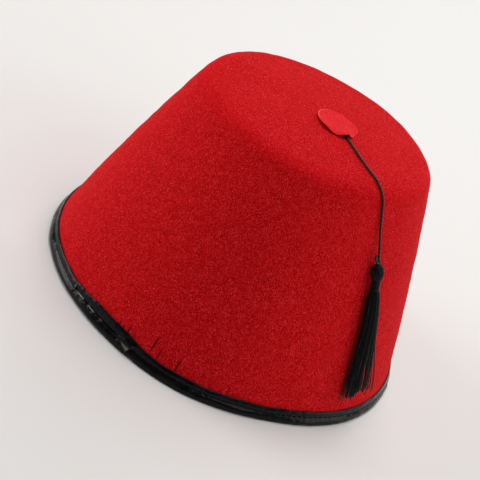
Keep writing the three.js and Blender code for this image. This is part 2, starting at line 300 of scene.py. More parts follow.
def solid(name, look, verts, quads, tris=(), marks=None):
    """A smooth-shaded mesh object from millimetres, its faces turned outward."""
    verts = np.asarray(verts, float).reshape(-1, 3)
    quads = np.asarray(quads, int).reshape(-1, 4)
    tris = np.asarray(tris, int).reshape(-1, 3)
    halves = np.vstack([quads[:, [0, 1, 2]], quads[:, [0, 2, 3]], tris])
    a, b, c = (verts[halves[:, i]] for i in range(3))
    if np.einsum("ij,ij->i", a, np.cross(b, c)).sum() < 0:
        quads, tris = quads[:, ::-1], tris[:, ::-1]
    loops = np.concatenate([quads.ravel(), tris.ravel()])
    sizes = np.concatenate([np.full(len(quads), 4), np.full(len(tris), 3)])
    mesh = bpy.data.meshes.new(name)
    mesh.vertices.add(len(verts))
    mesh.vertices.foreach_set("co", (verts * MM).astype(np.float32).ravel())
    mesh.loops.add(len(loops))
    mesh.loops.foreach_set("vertex_index", loops.astype(np.int32))
    mesh.polygons.add(len(sizes))
    starts = np.concatenate([[0], np.cumsum(sizes)[:-1]])
    mesh.polygons.foreach_set("loop_start", starts.astype(np.int32))
    mesh.update(calc_edges=True)
    mesh.validate()
    mesh.polygons.foreach_set("use_smooth", np.ones(len(mesh.polygons), bool))
    for mark, values in (marks or {}).items():
        layer = mesh.attributes.new(mark, "FLOAT", "POINT")
        layer.data.foreach_set("value", np.asarray(values, np.float32).ravel())
    mesh.materials.append(look)
    obj = bpy.data.objects.new(name, mesh)
    bpy.context.scene.collection.objects.link(obj)
    return obj


# ---- Materials ----


class Look:
    """A node material on one Principled shader, with textures placed in the object's own metres."""

    def __init__(self, name, **settings):
        self.material = bpy.data.materials.new(name)
        self.material.use_nodes = True
        self.tree = self.material.node_tree
        self.shader = self.tree.nodes["Principled BSDF"]
        self.place = self.tree.nodes.new("ShaderNodeTexCoord").outputs["Object"]
        for socket, value in settings.items():
            self.shader.inputs[socket.replace("_", " ")].default_value = value

    def node(self, kind, inputs=None, **settings):
        made = self.tree.nodes.new("ShaderNode" + kind)
        for key, value in settings.items():
            setattr(made, key, value)
        for socket, value in (inputs or {}).items():
            if isinstance(value, bpy.types.NodeSocket):
                self.tree.links.new(value, made.inputs[socket])
            else:
                made.inputs[socket].default_value = value
        return made

    def stretched(self, scale):
        """The place, scaled along each axis before a texture reads it."""
        return self.node("Mapping", {"Vector": self.place, "Scale": scale}).outputs["Vector"]

    def noise(self, size_mm, detail=2.0, roughness=0.5, place=None, distortion=0.0):
        """Noise with features of about `size_mm`."""
        inputs = {"Vector": place or self.place, "Scale": 1 / (size_mm * MM), "Detail": detail,
                  "Roughness": roughness, "Distortion": distortion}
        return self.node("TexNoise", inputs).outputs["Fac"]

    def mark(self, name):
        return self.node("Attribute", attribute_name=name).outputs["Fac"]

    def spread(self, value, low, high, to_low=0.0, to_high=1.0):
        """Maps the range from `low` to `high` onto the one from `to_low` to `to_high`, and clamps it."""
        inputs = {"Value": value, "From Min": low, "From Max": high, "To Min": to_low, "To Max": to_high}
        return self.node("MapRange", inputs).outputs["Result"]

    def math(self, operation, a, b):
        return self.node("Math", {0: a, 1: b}, operation=operation).outputs["Value"]

    def blend(self, factor, a, b):
        """One colour turning into another."""
        made = self.node("Mix", data_type="RGBA")
        colour_inputs = [s for s in made.inputs if s.type == "RGBA"]
        for socket, value in zip([made.inputs["Factor"], *colour_inputs], (factor, a, b)):
            if isinstance(value, bpy.types.NodeSocket):
                self.tree.links.new(value, socket)
            else:
                socket.default_value = value
        return next(s for s in made.outputs if s.type == "RGBA")

    def bump(self, height, depth_mm, strength=1.0, under=None):
        inputs = {"Height": height, "Distance": depth_mm * MM, "Strength": strength}
        if under is not None:
            inputs["Normal"] = under
        return self.node("Bump", inputs).outputs["Normal"]

    def set(self, socket, value):
        self.tree.links.new(value, self.shader.inputs[socket])


# Sizes in mm of the felt's grain, on the wall and on the top, and of its tufts and patches.
WALL_FLECK, TOP_FLECK, TUFT, PATCH = 0.34, 0.52, 1.5, 9
# The heights, in metres, between which the wall's grain turns into the top's.
GRAIN_TURNS_FROM, GRAIN_TURNS_TO = 0.108, 0.118
FLECK_SHARE = 0.86


def felt_look(name, light, dark, fibre, patch, mark, painted_shade_and_highlight_colour, painted_shade_and_highlight_share=1.0):
    """Needled felt: a fine grain, drawn out along the height on the wall, with paler fibres and soft
    patches. Places with the attribute `mark` take the colour `painted_shade_and_highlight_colour`: painted
    shade on the red felt, a painted highlight on the disc."""
    look = Look(name, Roughness=0.95, Specular_IOR_Level=0.05, Sheen_Weight=0.08, Sheen_Roughness=0.5,
                Sheen_Tint=(1.0, 0.12, 0.12, 1))
    wall_flecks = look.noise(WALL_FLECK, 2.0, 0.8, look.stretched((1, 1, 0.26)), 0.15)
    top_flecks = look.noise(TOP_FLECK, 2.0, 0.8, look.stretched((1, 0.7, 1)), 0.3)
    height = look.node("SeparateXYZ", {"Vector": look.place}).outputs["Z"]
    on_top = look.spread(height, GRAIN_TURNS_FROM, GRAIN_TURNS_TO)
    on_wall = look.math("SUBTRACT", 1.0, on_top)
    flecks = look.math("ADD", look.math("MULTIPLY", wall_flecks, on_wall),
                       look.math("MULTIPLY", top_flecks, on_top))
    tufts = look.noise(TUFT, 2.0, 0.6, look.stretched((1, 1, 0.4)), 0.5)
    mixed = look.math("ADD", look.math("MULTIPLY", flecks, FLECK_SHARE),
                      look.math("MULTIPLY", tufts, 1 - FLECK_SHARE))
    colour = look.blend(look.spread(mixed, 0.40, 0.60), dark, light)
    colour = look.blend(look.spread(mixed, 0.52, 0.66), colour, fibre)
    colour = look.blend(look.spread(look.noise(PATCH), 0.3, 0.7, 0.0, 0.25), colour, patch)
    # Painted light: the attribute `mark` blends in painted shade (red felt's pull creases) or a painted
    # highlight (disc's edge).
    colour = look.blend(look.math("MULTIPLY", look.mark(mark), painted_shade_and_highlight_share), colour, painted_shade_and_highlight_colour)
    look.set("Base Color", colour)
    coarse = look.bump(tufts, 0.3, 0.35)
    look.set("Normal", look.bump(flecks, 0.26, 0.6, coarse))
    return look.material


def vinyl_look():
    """Glossy black plastic-faced cloth: a fine grain, soft dents, and gloss that varies a little."""
    look = Look("black_vinyl", Specular_IOR_Level=0.12)
    smudges = look.noise(6, 3.0)
    grain = look.noise(0.45)
    dents = look.noise(3.5, 1.0)
    look.set("Roughness", look.spread(smudges, 0.3, 0.7, 0.14, 0.26))
    black = look.blend(look.spread(smudges, 0.3, 0.7), (0.003, 0.003, 0.0035, 1), (0.007, 0.007, 0.008, 1))
    # The vinyl turns pale by the attribute: painted highlights at the last end's corner and along the crease
    # above the groove, and the pale cloth of the cut flap's tip.
    look.set("Base Color", look.blend(look.mark("cut_edge_and_painted_highlight"), black, (0.60, 0.60, 0.58, 1)))
    soft = look.bump(dents, 0.5, 0.8)
    look.set("Normal", look.bump(grain, 0.05, 0.5, soft))
    return look.material


def thread_look(name, dark, light, roughness, shine):
    """Black thread: each strand has a tone of its own, and fine fibres run along it."""
    look = Look(name, Specular_IOR_Level=shine)
    fibres = look.noise(0.12, place=look.stretched((1, 1, 0.2)))
    tone = look.math("MULTIPLY", look.mark("tone"), look.spread(fibres, 0.3, 0.7, 0.5, 1.2))
    look.set("Base Color", look.blend(tone, dark, light))
    look.set("Roughness", look.spread(look.noise(0.5), 0.3, 0.7, roughness - 0.07, roughness + 0.07))
    look.set("Normal", look.bump(fibres, 0.04, 0.5))
    return look.material


def floor_look():
    look = Look("pale_floor", Roughness=0.6, Specular_IOR_Level=0.2)
    look.set("Base Color", look.blend(look.noise(400), (0.78, 0.76, 0.735, 1), (0.81, 0.795, 0.775, 1)))
    # Far from the hat, past the reach of the lights, the floor keeps pale by itself.
    look.shader.inputs["Emission Color"].default_value = (0.8, 0.785, 0.765, 1)
    far = look.node("VectorMath", {0: look.place}, operation="LENGTH").outputs["Value"]
    look.set("Emission Strength", look.spread(far, 1.0, 2.7, 0.0, 0.88))
    return look.material


# The red felt is painted nearly black along the pulls' creases: painted shade.
RED_FELT = felt_look(
    "red_felt", light=(0.68, 0.004, 0.008, 1), dark=(0.34, 0.0, 0.0005, 1), fibre=(0.84, 0.042, 0.048, 1),
    patch=(0.60, 0.004, 0.007, 1), mark="painted_crease_shade_and_glint", painted_shade_and_highlight_colour=(0.02, 0.0, 0.001, 1), painted_shade_and_highlight_share=0.85)
# The disc's edge is painted pale along its top through the attribute `edge`: a painted highlight.
DISC_FELT = felt_look(
    "disc_felt", light=(0.76, 0.022, 0.030, 1), dark=(0.64, 0.010, 0.015, 1), fibre=(0.84, 0.05, 0.056, 1),
    patch=(0.72, 0.018, 0.024, 1), mark="edge", painted_shade_and_highlight_colour=(0.95, 0.12, 0.13, 1))
BLACK_VINYL = vinyl_look()
BLACK_CORD = thread_look("black_cord", (0.003, 0.003, 0.0035, 1), (0.012, 0.012, 0.013, 1), 0.38, 0.3)
BLACK_THREAD = thread_look("black_thread", (0.0015, 0.0015, 0.002, 1), (0.007, 0.007, 0.008, 1), 0.42, 0.13)
STITCH_THREAD = thread_look("stitch_thread", (0.001, 0.001, 0.001, 1), (0.004, 0.004, 0.004, 1), 0.7, 0.1)


# ---- The cord ----

# Azimuth in degrees, distance up the felt and distance off it: the CAD cord's route, with two
# points more under the disc.
CORD_ROUTE = [
    (-50.2, 165, 0.55), (-50.1, 162, 0.8),
    (-50, 158.9, 0.95), (-49.6, 153, 0.95), (-49.3, 147, 0.95), (-48.8, 141, 0.95), (-48, 135, 0.95),
    (-47, 129.5, 0.95), (-46, 124.5, 0.95), (-45, 120, 0.95), (-44, 115, 0.95), (-43, 109, 1.1),
    (-42.2, 103, 1.7), (-41.5, 97.5, 2.6), (-41, 92.5, 3.3),
]
TASSEL_ROUTE = [
    (-41, 92.5, 3.3), (-40.4, 88, 3.6), (-39.5, 81.5, 3.7), (-38.8, 76, 3.6), (-37.4, 66, 3.6),
    (-35.2, 48, 3.5), (-33.3, 31, 3.3), (-31.9, 15, 3.1),
]
PLIES, PLY_RADIUS, PLY_REACH, PLY_PITCH = 2, 0.36, 0.34, 3.9
KNOT_START, HEAD_START, NECK_START, SKIRT_START = 0.3, 3.1, 11.8, 16.7

tassel_points = smooth_line(off_felt(TASSEL_ROUTE), 0.25)
tassel_step = length_of(tassel_points) / (len(tassel_points) - 1)


def tassel_frame(along):
    """Places along the tassel's line, and the ways across, off the wall and forward there."""
    along = np.asarray(along, float)
    last = len(tassel_points) - 1
    at = np.clip(along / tassel_step, 0, last)
    middle = np.stack([np.interp(at, np.arange(last + 1), tassel_points[:, i]) for i in range(3)], -1)
    slopes = unit(np.gradient(tassel_points, axis=0))
    forward = unit(np.stack([np.interp(at, np.arange(last + 1), slopes[:, i]) for i in range(3)], -1))
    middle = middle + forward * (along - at * tassel_step)[..., None]
    azimuth = np.arctan2(middle[..., 1], middle[..., 0])
    away = np.stack([np.cos(azimuth) * math.cos(LEAN), np.sin(azimuth) * math.cos(LEAN),
                     np.full_like(azimuth, math.sin(LEAN))], -1)
    across = unit(np.cross(forward, away))
    return middle, across, unit(np.cross(across, forward)), forward


def near_tassel(along, across_by, off_by):
    middle, across, off, _ = tassel_frame(along)
    return middle + across * np.asarray(across_by)[..., None] + off * np.asarray(off_by)[..., None]


def tassel_cord():
    """The cord's twisted plies, and its middle line from the root to inside the head."""
    lead = off_felt(CORD_ROUTE)
    into_head = tassel_frame(np.array([1.2, HEAD_START + 0.6]))[0]
    line = smooth_line(np.vstack([lead, into_head]), 0.22)
    run = run_along(line)
    forward = unit(np.gradient(line, axis=0))
    across = unit(np.cross(forward, (0.2, 0.9, 0.3)))
    over = np.cross(forward, across)
    pile = Pile()
    for ply in range(PLIES):
        turn = 2 * math.pi * (run / PLY_PITCH + ply / PLIES)
        reach = PLY_REACH * (1 + 0.05 * np.sin(run * 1.7 + 2 * ply))
        strand = line + across * (reach * np.cos(turn))[:, None] + over * (reach * np.sin(turn))[:, None]
        pile.tube(strand, PLY_RADIUS, 10, 0.3 + 0.4 * ply, across)
    return pile.build("tassel_cord_twisted", BLACK_CORD), line


# The knot's turns round the cord, and the cut end's route: along the tassel, across it and off it.
KNOT_TURNS, KNOT_WRAP_RADIUS = 2.1, 0.42
TAG_ROUTE = [(2.2, 0.7, 0.6), (1.5, 1.5, 0.95), (0.6, 2.2, 0.9), (-0.4, 2.5, 0.7), (-1.2, 2.4, 0.55),
             (-1.7, 2.3, 0.5)]
TAG_FRAYS, FRAY_RADIUS = 7, 0.14


def cord_knot():
    """The cord's turns round itself on top of the head, and its frayed end that stands up beside it."""
    pile = Pile()
    t = np.linspace(0, 1, 60)
    turn = 2 * math.pi * KNOT_TURNS * t
    reach = 0.78 + 0.18 * np.sin(math.pi * t)
    wrap = near_tassel(KNOT_START + 0.55 + 1.5 * t, reach * np.cos(turn), reach * np.sin(turn))
    pile.tube(wrap, KNOT_WRAP_RADIUS, 10, 0.4)
    along, across, off = np.array(TAG_ROUTE).T
    tag = smooth_line(near_tassel(KNOT_START + along, across, off), 0.2)
    pile.tube(tag, 0.5 + 0.22 * hump(len(tag) - 5, 6, np.arange(len(tag))), 10, 0.55)
    spread = np.array([0.15, 0.3, 0.42])
    for i in range(TAG_FRAYS):
        spin = 2 * math.pi * i / TAG_FRAYS
        tip = near_tassel(KNOT_START + np.array([-1.5, -2.1, -2.5 - 0.15 * (i % 3)]),
                          across[-1] + spread * math.cos(spin), off[-1] + spread * math.sin(spin))
        pile.tube(smooth_line(tip, 0.2), FRAY_RADIUS, 5, 0.3 + 0.08 * i)
    return pile.build("cord_knot_tied", BLACK_CORD)


# Sections of the tassel's parts: distance along each part, width across, and depth off the wall.
HEAD_ROWS = [(0, 2.4, 2.4), (0.9, 4.8, 4.7), (2.6, 6.3, 6.2), (4.3, 6.6, 6.5), (6, 6.2, 6.1), (7.6, 5.1, 5),
             (8.4, 4.1, 4.1)]
NECK_ROWS = [(0, 4.2, 4.2), (0.6, 4.8, 4.8), (3.8, 4.7, 4.7), (4.6, 4.3, 4.3)]
SKIRT_ROWS = [(0, 4.3, 4.2), (2, 6.2, 5.2), (6, 7.8, 5.9), (14, 9.2, 6.3), (28, 10.8, 6.3), (42, 12.4, 6),
              (53, 14, 5.5), (58, 14.2, 4.9), (63, 14.6, 4.6)]


def core(pile, rows, start, shrink, steps=24, sides=32):
    """The solid body that threads lie on: elliptic sections along the tassel's line."""
    line = smooth_line(rows, length_of(np.array(rows, float)) / steps)
    turn = 2 * math.pi * np.arange(sides) / sides
    half = (line[:, 1:] / 2 - shrink)[:, :, None]
    along = start + np.repeat(line[:, :1], sides, 1)
    rings = near_tassel(along, half[:, 0] * np.cos(turn), half[:, 1] * np.sin(turn))
    ends = near_tassel(start + line[[0, -1], 0], np.zeros(2), np.zeros(2))
    pile.add(np.vstack([rings.reshape(-1, 3), ends]), ring_faces(len(line), sides),
             end_faces(len(line), sides), 0.2)


HEAD_THREADS = 64
NECK_TURNS, NECK_LENGTH = 9.5, 4.4


def tassel_head():
    """Threads folded over a barrel, with a slight swirl from its top."""
    random = np.random.default_rng(11)
    pile = Pile()
    core(pile, HEAD_ROWS, HEAD_START, 0.22)
    rows = smooth_line(HEAD_ROWS, 0.5)
    swirl = 0.9 * (1 - ease(0, 9, rows[:, 0]))
    for i in range(HEAD_THREADS):
        turn = 2 * math.pi * i / HEAD_THREADS + swirl + random.normal(0, 0.02)
        sink = 0.16 + random.uniform(0, 0.06)
        line = near_tassel(HEAD_START + rows[:, 0], (rows[:, 1] / 2 - sink) * np.cos(turn),
                           (rows[:, 2] / 2 - sink) * np.sin(turn))
        pile.tube(line, 0.2, 6, random.uniform(0, 1))
    return pile.build("tassel_head_threads", BLACK_THREAD)


def tassel_neck():
    """Thread wound round the bundle under the head."""
    pile = Pile()
    core(pile, NECK_ROWS, NECK_START - 0.4, 0.3, 12)
    t = np.linspace(0, 1, 330)
    along = NECK_START + 0.1 + NECK_LENGTH * t
    turn = 2 * math.pi * NECK_TURNS * t
    reach = 2.02 + 0.06 * np.sin(3.1 * 2 * math.pi * t) + 0.1 * np.sin(math.pi * t)
    pile.tube(near_tassel(along, reach * np.cos(turn), reach * np.sin(turn)), 0.3, 7, 0.6)
    return pile.build("tassel_neck_winding", BLACK_THREAD)


SKIRT_STRANDS, SKIRT_CLUMPS, SKIRT_LENGTH = 150, 32, 59.3
# The strands start this far inside the neck.
SKIRT_ROOT = 1.2
# How much wider than the solid skirt the strands lie at the bottom.
SKIRT_LOOSE = 0.32
# The turn between strands that spreads them evenly over the bundle.
GOLDEN_TURN = 2.39996
STRAND_REFERENCE = (0.8, 0.5, 0.1)
# Strands that part from the rest: where across they start, how far out they end, where they part
# from the skirt, and their length.
STRAY_STRANDS = [
    {"across": 0.85, "out": 5.2, "parts": 8, "length": 58},
    {"across": 0.95, "out": 3.9, "parts": 14, "length": 60},
    {"across": 0.9, "out": 2.6, "parts": 22, "length": 62},
    {"across": -0.85, "out": 4.4, "parts": 8, "length": 60.5},
    {"across": -0.95, "out": 3.0, "parts": 14, "length": 62},
    {"across": -0.9, "out": 2.0, "parts": 24, "length": 59},
]


def strand_line(along, across, off):
    """Where a strand lies, across the tassel and off its line, from its shares of the skirt's halves."""
    at, width, depth = np.array(SKIRT_ROWS).T
    half_across, half_off = np.interp(along, at, width / 2), np.interp(along, at, depth / 2)
    return across * (half_across * (1 + SKIRT_LOOSE * ease(20, 60, along)) - 0.2), off * (half_off - 0.25)


def tassel_skirt():
    """The tassel's strands: a bundle at the neck that fans out, clumps, and ends unevenly."""
    random = np.random.default_rng(5)
    pile = Pile()
    clumps = []
    for i in range(SKIRT_CLUMPS):
        across = -1 + 2 * (i + 0.5 + random.uniform(-0.35, 0.35)) / SKIRT_CLUMPS
        clumps.append((across, random.uniform(-0.75, 0.75), random.uniform(-2.6, 1.4)))
    for i in range(SKIRT_STRANDS):
        spin, reach = GOLDEN_TURN * i, math.sqrt((i + 0.5) / SKIRT_STRANDS)
        u, v = reach * math.cos(spin), reach * math.sin(spin)
        near = min(clumps, key=lambda c: (c[0] - u) ** 2 + (0.3 * (c[1] - v)) ** 2)
        length = SKIRT_LENGTH + near[2] + random.uniform(-1.2, 0.8) + (1 if u < -0.35 else 0)
        along = np.linspace(0, length, 32)
        gather = 0.8 * ease(14, 52, along)
        wander = ease(6, 40, along) * random.uniform(0.02, 0.06)
        sway_across = np.sin(along / random.uniform(5, 11) + random.uniform(0, 6))
        sway_off = np.cos(along / random.uniform(5, 11) + random.uniform(0, 6))
        x, y = strand_line(along, u + (near[0] - u) * gather + wander * sway_across,
                           v + (near[1] - v) * gather + wander * sway_off)
        pile.tube(near_tassel(SKIRT_START + along - SKIRT_ROOT, x, y), 0.2 + 0.03 * random.uniform(-1, 1), 5,
                  random.uniform(0, 1), STRAND_REFERENCE)
    for row in STRAY_STRANDS:
        along = np.linspace(0, row["length"], 40)
        x, y = strand_line(along, row["across"], 0.3 + 0.15 * np.sin(along / 9))
        away = ease(row["parts"], row["length"] * 1.25, along) * 1.35
        x = x + math.copysign(row["out"], row["across"]) * away + 0.12 * np.sin(along / 4.3)
        pile.tube(near_tassel(SKIRT_START + along - SKIRT_ROOT, x, y), 0.19, 5, 0.5, STRAND_REFERENCE)
    return pile.build("tassel_skirt_strands", BLACK_THREAD)


# ---- The felt cap ----

# Fine pulls in the felt above the binding: azimuth, the distances up the felt between which each
# runs, its depth and its half width.
# Each pull's crease is also painted nearly black as painted shade.
PULLS = [
    {"deg": 247.9, "from": 9.2, "to": 13.4, "deep": 0.34, "half": 0.32},
    {"deg": 249.7, "from": 7.4, "to": 12.6, "deep": 0.4, "half": 0.38},
    {"deg": 251.4, "from": 8.8, "to": 14.6, "deep": 0.4, "half": 0.38},
    {"deg": 260.0, "from": 10.0, "to": 19.4, "deep": 0.4, "half": 0.38},
    {"deg": 262.5, "from": 8.8, "to": 15.0, "deep": 0.38, "half": 0.36},
    {"deg": 268.6, "from": 7.6, "to": 15.6, "deep": 0.42, "half": 0.4},
    {"deg": 279.2, "from": 7.0, "to": 10.8, "deep": 0.32, "half": 0.3},
    {"deg": 284.6, "from": 8.8, "to": 14.2, "deep": 0.26, "half": 0.28},
]
FELT_COLUMNS = 480
# The rings on the top, outside and inside: the first one's radius, the step to the next, one more
# small ring at last, and the stride at which each ring takes the felt's columns.
OUTER_TOP = {"radius": 49, "step": 2.5, "last": (2, 32),
             "strides": [1] * 7 + [2] * 6 + [4] * 3 + [8] * 2 + [16]}
INNER_TOP = {"radius": 46, "step": 6, "last": (5, 16), "strides": [1, 1, 2, 2, 4, 4, 8]}
# Where on the shoulder the felt has a sharper fold, and how far it stands out there.
FOLD_FROM, FOLD_TO, FOLD_OUT = (205, 245), (300, 345), 0.6


def felt_azimuths():
    """Azimuths of the felt's columns, in radians: closest where the fine pulls are."""
    fine = np.linspace(0, 360, 7201)
    density = 1 + sum(14 * hump(pull["deg"], 0.6, fine) for pull in PULLS)
    return np.radians(by_density(fine, density, np.arange(FELT_COLUMNS) / FELT_COLUMNS))


def felt_relief(azimuth, up):
    """How far the felt's face stands off its smooth form, and how deep in a pull each place is, which sets
    the painted shade along the pull's crease.
    """
    r, z = face_profile(up)
    points = in_plan(r, z, azimuth)
    relief = 0.12 * waves(points, 48, 3) + 0.07 * waves(points, 17, 4) + 0.05 * waves(points, 5.5, 6)
    deg = np.mod(np.degrees(azimuth), 360)
    sharp = ease(*FOLD_FROM, deg) * (1 - ease(*FOLD_TO, deg))
    relief = relief + FOLD_OUT * sharp * hump(WALL_LENGTH + SHOULDER_LENGTH / 2, 4.6, up)
    # Under and just above the binding the felt is held flat.
    rim = np.exp(-np.maximum(up - 7, 0) / 4)
    relief = relief * (1 - rim) + rim * 0.08 * waves(points, 9, 8)
    painted_crease_shade_and_glint = np.zeros_like(relief)
    for pull in PULLS:
        across = (np.degrees(azimuth) - pull["deg"]) * math.radians(1) * RIM_RADIUS
        across = across + 0.12 * np.sin(up * 1.9 + pull["deg"])
        along = ease(pull["from"], pull["from"] + 0.8, up) - ease(pull["to"] - 2, pull["to"], up)
        here = hump(0, pull["half"], across) * along
        relief = relief - pull["deep"] * here + 0.3 * pull["deep"] * hump(0, 1.3, across) * along
        # Painted shade: how dark the felt is painted along this pull's crease.
        painted_crease_shade_and_glint = np.maximum(painted_crease_shade_and_glint, here * pull["deep"] / 0.35)
    return relief, painted_crease_shade_and_glint


def felt_side(azimuths, wall_rows, shoulder_rows, top, off, relief_share):
    """Rings up one side of the felt, from its edge to the middle of the top. The rings on the top
    have half as many vertices each time they get small."""
    top_radii = [(top["radius"] - top["step"] * i, stride) for i, stride in enumerate(top["strides"])]
    top_radii.append(top["last"])
    edge = FELT_EDGE_Z / math.cos(LEAN)
    stations = np.concatenate([
        np.linspace(edge, WALL_LENGTH, wall_rows),
        WALL_LENGTH + SHOULDER_LENGTH * np.arange(1, shoulder_rows + 1) / shoulder_rows,
        FACE_LENGTH - np.array([r for r, _ in top_radii]),
    ])
    strides = [1] * (wall_rows + shoulder_rows) + [stride for _, stride in top_radii]
    rings, marks, lengths = [], [], []
    for up, stride in zip(stations, strides):
        azimuth = azimuths[::stride]
        relief, painted_crease_shade_and_glint = felt_relief(azimuth, np.full(len(azimuth), up))
        r, z = face_profile(up, off + relief_share * relief)
        if up == stations[0]:
            z = np.full_like(r, FELT_EDGE_Z)
        rings.append(in_plan(r, z, azimuth))
        marks.append(painted_crease_shade_and_glint if relief_share == 1 else 0 * painted_crease_shade_and_glint)
        lengths.append(len(azimuth))
    r, z = face_profile(FACE_LENGTH, off)
    rings.append(in_plan(np.array([0.0]), np.array([float(z)]), np.array([0.0])))
    marks.append(np.zeros(1))
    first = np.concatenate([[0], np.cumsum(lengths)])
    quads, tris = [], []
    for i in range(len(lengths) - 1):
        a, b, na, nb = first[i], first[i + 1], lengths[i], lengths[i + 1]
        j = np.arange(nb)
        if na == nb:
            quads.append(np.stack([a + j, a + (j + 1) % na, b + (j + 1) % nb, b + j], -1))
        else:
            here, middle, after = a + 2 * j, a + 2 * j + 1, a + (2 * j + 2) % na
            tris.append(np.stack([here, middle, b + j], -1))
            tris.append(np.stack([middle, b + (j + 1) % nb, b + j], -1))
            tris.append(np.stack([middle, after, b + (j + 1) % nb], -1))
    tris.append(fan_faces(first[-2] + np.arange(lengths[-1]), first[-1]))
    return np.vstack(rings), np.concatenate(marks), np.vstack(quads), np.vstack(tris)


def felt_crown():
    """The felt's outer and inner faces, joined at the lower edge."""
    azimuths = felt_azimuths()
    outside, painted_crease_shade_and_glint, quads, tris = felt_side(azimuths, 94, 16, OUTER_TOP, 0.0, 1)
    inside, none, inner_quads, inner_tris = felt_side(azimuths, 40, 9, INNER_TOP, -FELT, 0.7)
    shift = len(outside)
    j = np.arange(FELT_COLUMNS)
    edge = np.stack([j, shift + j, shift + (j + 1) % FELT_COLUMNS, (j + 1) % FELT_COLUMNS], -1)
    return solid("felt_cap", RED_FELT, np.vstack([outside, inside]),
                 np.vstack([quads, inner_quads[:, ::-1] + shift, edge]),
                 np.vstack([tris, inner_tris[:, ::-1] + shift]), {"painted_crease_shade_and_glint": np.concatenate([painted_crease_shade_and_glint, none])})


# ---- The binding ----

# The middle of the strip's section, as (distance out from the felt's outer face, height): down
# the outside from its upper edge, under the felt's edge, and up the inside.
STRIP_SECTION = [
    (0.52, 7.7), (0.72, 6.6), (0.78, 5.8), (0.55, 5.15), (0.42, 4.75), (0.62, 4.2), (1.02, 3.3), (1.18, 2.3),
    (1.05, 1.2), (0.6, 0.5), (0, 0.28), (-1, 0.27), (-2, 0.28), (-2.55, 0.6), (-2.75, 1.4), (-2.8, 3),
    (-2.55, 4.8), (-2.78, 5.7), (-2.62, 7.1),
]
STRIP_THICK, STRIP_RINGS = 0.48, 760
# The flap stands above the groove, up to FLAP_Z.
GROOVE_Z, FLAP_Z = 4.9, 7.7
STITCH_PITCH, STITCH_HALF, STITCH_RADIUS = 3.3, 1.2, 0.21
# Small wrinkles in the roll: azimuth and height.
WRINKLES = [(250.6, 3.9), (252.3, 3.4), (247.4, 3.6), (282.5, 3.6), (266.0, 3.2)]
# The strip goes once round and on over its own first end. Azimuths over 360 are on the second round.
STRIP_START, STRIP_END = 226.5, 614.6
# Where the first end is covered, where its flap stands taller, and where it is still hidden.
COVERED_TO, TALL_FROM, TALL_TO, HIDDEN_TO = (255, 259.5), (227, 241), (249, 262), (227.5, 229.5)
# Where the last end lies over the first, and where its flap is cut off and comes back.
COVERING_FROM, CUT_FROM, CUT_TO = (580.3, 586), (588.6, 589.3), (607, 612.5)
LAP_OUT = 0.56
# The bend at the last end's corner, painted pale as a highlight: the heights between which the painted
# highlight slants.
CORNER_HIGHLIGHT_LOW, CORNER_HIGHLIGHT_HIGH = 2.4, 4.7
# The painted highlight along the crease above the groove, and the puckers beside the groove.
GLINT_Z, GLINT_HALF, GLINT_FROM, GLINT_TO = 5.35, 0.12, (223, 225), (241, 244)
PUCKERED_FROM, PUCKERED_TO = (224, 227), (241, 245)


def face_radius(z):
    return face_profile(np.maximum(z, 0) / math.cos(LEAN))[0]


def over_the_lap(deg):
    """The azimuth where the strip's two ends lie over each other, the same for both ends."""
    return deg - 360 * (deg > 560)


